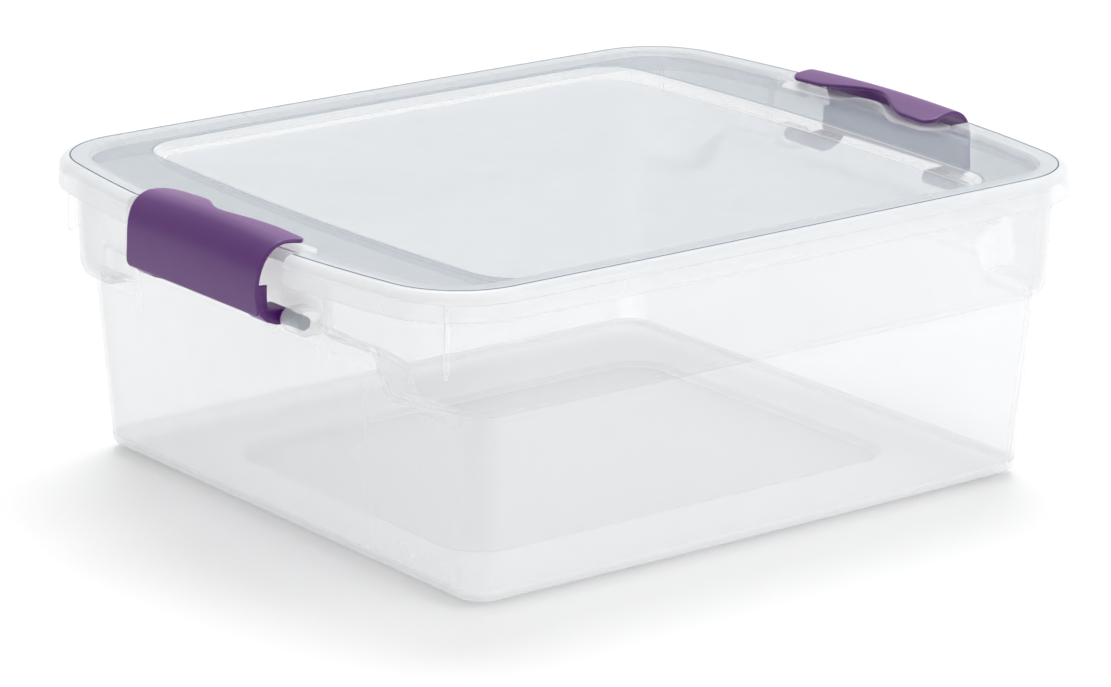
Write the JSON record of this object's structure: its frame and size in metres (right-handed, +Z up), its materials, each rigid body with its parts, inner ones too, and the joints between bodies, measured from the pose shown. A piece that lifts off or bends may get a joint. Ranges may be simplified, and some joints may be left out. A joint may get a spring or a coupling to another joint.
{
  "type": "stackable storage bin",
  "caption": "Clear rectangular storage bin with tapered walls, a lift-off lid with a stacking recess, and purple swing latches that hook over the lid's rim at both ends.",
  "frame": {"origin": "the middle of the foot that the bin stands on, on the surface it stands on", "axes": "+X along the length, from the left latch to the right latch; +Y across the width; +Z up"},
  "size_m": [0.4438, 0.3434, 0.1621],
  "materials": {
    "tub_plastic": "clear, slightly milky moulded polypropylene with a fine grain",
    "lid_plastic": "clear, slightly milky moulded polypropylene; the recess floor is frosted",
    "latch_plastic": "opaque purple, satin with a fine moulded grain"
  },
  "bodies": {
    "tub": {"bin_body": "tub_plastic"},
    "lid": {"lid": "lid_plastic"},
    "latch_left": {"latch_left": "latch_plastic"},
    "latch_right": {"latch_right": "latch_plastic"}
  },
  "joints": [
    {"name": "lid_lift", "type": "slide", "parent": "tub", "child": "lid", "axis": [0, 0, 1], "range_m": [0, 0.2]},
    {"name": "latch_left_swing", "type": "hinge", "parent": "tub", "child": "latch_left", "pos_m": [-0.205, 0, 0.1235], "axis": [0, -1, 0], "range_deg": [0, 103]},
    {"name": "latch_right_swing", "type": "hinge", "parent": "tub", "child": "latch_right", "pos_m": [0.205, 0, 0.1235], "axis": [0, 1, 0], "range_deg": [0, 103]}
  ]
}
